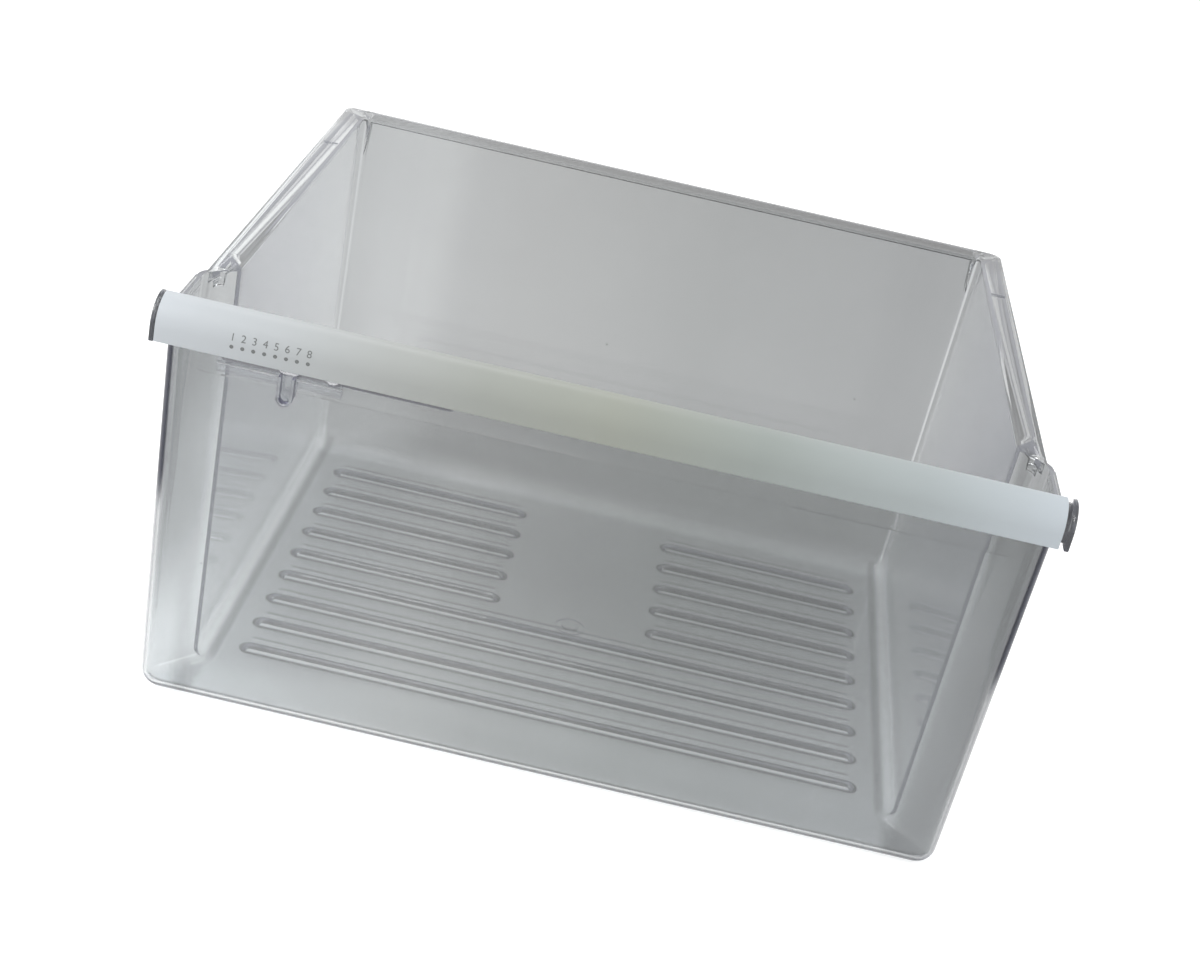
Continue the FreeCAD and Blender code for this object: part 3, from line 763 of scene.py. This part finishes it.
def clear_plastic(name, look, edges, level=None):
    """Grey clear plastic with specks, haze, soft moulding waves and a painted grey glow in depth.
    """
    n = Nodes(name)
    where = n.place()
    clear = n.add("BsdfPrincipled", {"Transmission Weight": 1.0, "IOR": 1.52})
    tint_and_shade = n.ramp(n.scale(n.split(where)[0], (0.0, 1.0), (-0.2, 0.2)), look["tint_and_shade"])
    haze = n.ramp(n.noise(where, 9.0, 3.0), [(0.3, (0.955, 0.955, 0.955)), (0.7, (1.0, 1.0, 1.0))])
    speck = n.add("TexVoronoi", {"Scale": 24.0})
    n.link(where, speck.inputs["Vector"])
    lit = n.step(speck.outputs["Distance"], 0.013, 0.022, 0.45, 1.0)
    # Painted light and shade of the bin's zones scale the specks.
    if level is not None:
        lit = n.math("MULTIPLY", lit, level(n))
    scaled = n.add("VectorMath", operation="SCALE")
    n.link(n.multiply_colours(tint_and_shade, haze), scaled.inputs[0])
    n.link(lit, scaled.inputs["Scale"])
    n.link(scaled.outputs[0], clear.inputs["Base Color"])
    rough = n.scale(n.noise(where, 60.0, 4.0), (look["roughness"] * 0.6, look["roughness"] * 1.4))
    n.link(rough, clear.inputs["Roughness"])
    n.bump(n.noise(where, 14.0, 1.0), 0.35, look["wave"], clear)
    # Painted shade: dark plastic mixed in where the edge mask holds.
    edge = n.add("BsdfPrincipled", {"Base Color": (*look["edge"], 1.0), "Roughness": 0.08,
                                    "Transmission Weight": 0.6, "IOR": look["edge_ior"]})
    surface = n.mix(edges(n), clear.outputs["BSDF"], edge.outputs["BSDF"])
    path = n.add("LightPath").outputs
    shadow = n.add("BsdfTransparent", {"Color": (*look["shadow"], 1.0)})
    surface = n.mix(path["Is Shadow Ray"], surface, shadow.outputs["BSDF"])
    # Painted light: a path that goes too deep glows grey instead of going black.
    depth_glow = n.add("Emission", {"Color": (*look["depth_glow"], 1.0), "Strength": 1.0})
    trapped = n.math("MAXIMUM", n.math("GREATER_THAN", path["Ray Depth"], DEEP_RAYS),
                     n.math("GREATER_THAN", path["Glossy Depth"], DEEP_REFLECTIONS))
    return n.finish(n.mix(trapped, surface, depth_glow.outputs[0]))


# Colour of the trim from its left end to its right one, darker along its middle as painted shade.
TRIM_TONE_AND_SHADE = [
    (0.0, (0.66, 0.70, 0.74)), (0.12, (0.58, 0.61, 0.63)), (0.25, (0.49, 0.51, 0.50)),
    (0.36, (0.42, 0.44, 0.41)), (0.5, (0.40, 0.42, 0.37)), (0.66, (0.39, 0.43, 0.41)),
    (0.84, (0.49, 0.54, 0.55)), (1.0, (0.64, 0.70, 0.75))]


def white_plastic_with_shade(name):
    """Satin white plastic, darker along its middle as painted shade and a little yellower there.
    """
    n = Nodes(name)
    where = n.place()
    shader = n.add("BsdfPrincipled", {"IOR": 1.5})
    colour = n.ramp(n.scale(n.split(where)[0], (0.0, 1.0), (-0.212, 0.212)), TRIM_TONE_AND_SHADE)
    mottle = n.noise(where, 35.0, 5.0)
    fade = n.ramp(mottle, [(0.3, (0.97, 0.97, 0.965)), (0.7, (1.0, 1.0, 1.0))])
    n.link(n.multiply_colours(colour, fade), shader.inputs["Base Color"])
    n.link(n.scale(mottle, (0.3, 0.42)), shader.inputs["Roughness"])
    n.bump(n.noise(where, 900.0, 2.0), 0.12, 0.00004, shader)
    return n.finish(shader.outputs["BSDF"])


def mottled(name, values, noise, stops):
    """A plain surface whose colour varies softly."""
    n = Nodes(name)
    shader = n.add("BsdfPrincipled", values)
    n.link(n.ramp(n.noise(n.place(), *noise), stops), shader.inputs["Base Color"])
    return n.finish(shader.outputs["BSDF"])


FLOOR_LIFT = 0.58


def studio_floor_material(name):
    """Pale matt floor; the camera, mirrors and clear plastic see it lifted to white."""
    n = Nodes(name)
    shader = n.add("BsdfPrincipled", {"Roughness": 0.9})
    colour = n.ramp(n.noise(n.place(), 0.7, 2.0), [(0.3, (0.79, 0.79, 0.79)),
                                                   (0.7, (0.81, 0.81, 0.81))])
    n.link(colour, shader.inputs["Base Color"])
    path = n.add("LightPath").outputs
    seen = n.math("MAXIMUM", path["Is Camera Ray"], path["Is Glossy Ray"])
    seen = n.math("MAXIMUM", seen, path["Is Transmission Ray"])
    lift = n.add("Emission", {"Color": (1.0, 1.0, 1.0, 1.0)})
    n.link(n.math("MULTIPLY", seen, FLOOR_LIFT), lift.inputs["Strength"])
    both = n.add("AddShader")
    n.link(shader.outputs["BSDF"], both.inputs[0])
    n.link(lift.outputs[0], both.inputs[1])
    return n.finish(both.outputs[0])


def paint(obj, mat):
    """A material in the first slot; the others and the faces' slots stay."""
    if obj.data.materials:
        obj.data.materials[0] = mat
    else:
        obj.data.materials.append(mat)


# The pieces and their finish

pan = make_pan()
trim = make_trim()
marks = make_marks()
bead = make_bead()
paint(pan, clear_plastic("clear_pan", PAN_LOOK, bin_edges, bin_painted_light))
paint(nodes["humidity_slider"], clear_plastic("clear_slider", SLIDER_LOOK, slider_edges))
# Painted highlight: a paler plastic draws the light line that clear plastic shows along a fine
# bead.
paint(bead, mottled("painted_highlight_edge", {"Transmission Weight": 0.3, "IOR": 1.52, "Roughness": 0.15},
                    (90.0, 3.0), [(0.3, (0.70, 0.72, 0.75)), (0.7, (0.90, 0.91, 0.93))]))
# Painted shade: the thick violet grey that it shows in the slot, where it is seen edge on.
pan.data.materials.append(mottled(
    "painted_dark_edge_plastic", {"Transmission Weight": 0.45, "IOR": 1.52, "Roughness": 0.12},
    (120.0, 2.0), [(0.3, (0.13, 0.135, 0.17)), (0.7, (0.20, 0.205, 0.25))]))
paint(trim, white_plastic_with_shade("white_trim"))
paint(marks, mottled("grey_ink", {"Roughness": 0.5}, (1500.0, 3.0),
                     [(0.3, (0.17, 0.18, 0.18)), (0.75, (0.24, 0.25, 0.25))]))
soften(nodes["humidity_slider"], 0.22, 40)

# Studio, in metres and watts

FLOOR_HALF = 8.0
FLOOR_Z = -0.0005
WORLD_LIGHT = 0.5
WORLD_SEEN = 1.0
LIGHT_TARGET = (0, 0, 0.1)
# Name, width, height, power and place.
LIGHTS = (
    ("key", 0.6, 0.6, 19, (-1.3, -0.7, 1.4)),
    ("fill", 0.8, 0.8, 5, (1.5, -0.5, 1.2)),
    ("back", 0.7, 0.5, 3, (-0.3, 1.3, 1.9)),
)

floor_mesh = bpy.data.meshes.new("studio_floor")
floor_mesh.from_pydata([(FLOOR_HALF * i, FLOOR_HALF * j, FLOOR_Z)
                        for i, j in ((-1, -1), (1, -1), (1, 1), (-1, 1))], [], [(0, 1, 2, 3)])
floor = new_object("studio_floor", floor_mesh)
floor.data.materials.append(studio_floor_material("studio_floor"))


def make_world():
    """White world, darker for the light that it gives than for what is seen of it."""
    world = bpy.data.worlds.new("studio")
    bpy.context.scene.world = world
    world.use_nodes = True
    tree = world.node_tree
    background = tree.nodes["Background"]
    background.inputs["Color"].default_value = (1.0, 1.0, 1.0, 1.0)
    path = tree.nodes.new("ShaderNodeLightPath").outputs
    seen = path["Is Camera Ray"]
    for ray in ("Is Transmission Ray", "Is Glossy Ray"):
        either = tree.nodes.new("ShaderNodeMath")
        either.operation = "MAXIMUM"
        tree.links.new(seen, either.inputs[0])
        tree.links.new(path[ray], either.inputs[1])
        seen = either.outputs[0]
    level = tree.nodes.new("ShaderNodeMapRange")
    level.inputs["To Min"].default_value = WORLD_LIGHT
    level.inputs["To Max"].default_value = WORLD_SEEN
    tree.links.new(seen, level.inputs["Value"])
    tree.links.new(level.outputs[0], background.inputs["Strength"])


make_world()
for light_name, width, height, power, spot in LIGHTS:
    light = bpy.data.lights.new(light_name, "AREA")
    light.shape = "RECTANGLE"
    light.size = width
    light.size_y = height
    light.energy = power
    lamp = new_object(light_name, light)
    lamp.location = spot
    aim = Vector(LIGHT_TARGET) - Vector(spot)
    lamp.rotation_euler = aim.to_track_quat("-Z", "Y").to_euler()

# Camera, fitted to the photograph: angles in radians, place in metres

PITCH = 0.4501
YAW = -0.0113
ROLL = 0.22182
CAMERA_AT = (0.009288, -1.00449, 0.58325)
SENSOR_MM = 36.0
LENS_MM = 60.0


def camera_axes():
    """The camera's right, down and forward directions."""
    forward = Vector((math.sin(YAW) * math.cos(PITCH), math.cos(YAW) * math.cos(PITCH),
                      -math.sin(PITCH)))
    level = Vector((math.cos(YAW), -math.sin(YAW), 0.0))
    below = forward.cross(level)
    c = math.cos(ROLL)
    s = math.sin(ROLL)
    return level * c - below * s, level * s + below * c, forward


right, down, forward = camera_axes()
lens = bpy.data.cameras.new("camera")
lens.sensor_fit = "HORIZONTAL"
lens.sensor_width = SENSOR_MM
lens.lens = LENS_MM
lens.clip_start = 0.01
camera = new_object("camera", lens)
pose = Matrix.Identity(4)
for row in range(3):
    pose[row] = (right[row], -down[row], -forward[row], CAMERA_AT[row])
camera.matrix_world = pose
bpy.context.scene.camera = camera
bpy.context.scene.view_settings.view_transform = "Standard"
